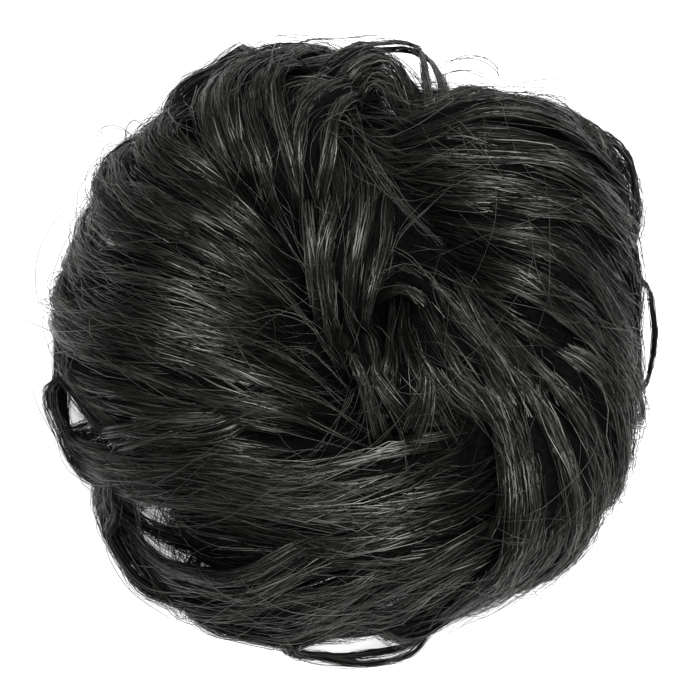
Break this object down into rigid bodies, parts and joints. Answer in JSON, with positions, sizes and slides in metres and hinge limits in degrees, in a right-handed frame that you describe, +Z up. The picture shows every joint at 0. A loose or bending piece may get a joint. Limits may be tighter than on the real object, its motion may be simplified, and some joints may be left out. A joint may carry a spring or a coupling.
{
  "type": "top knot hairpiece",
  "caption": "Round messy-bun hairpiece of wavy locks that curl over a ring-shaped mass of hair, with an elastic band in the hollow beneath for the wearer's own bun.",
  "frame": {"origin": "bottom centre of the hairpiece, on the elastic band's axis, on the surface that it lies on", "axes": "+Z up along the band's axis, out of the top of the bun; +Y towards the top of the picture and +X towards its right"},
  "size_m": [0.1545, 0.1573, 0.0576],
  "materials": {
    "hair": "off-black synthetic hair fibre with a soft sheen along the strands",
    "elastic": "matte black braided elastic cord"
  },
  "bodies": {
    "root": {"hair_locks": "hair", "elastic_band": "elastic"}
  },
  "joints": []
}
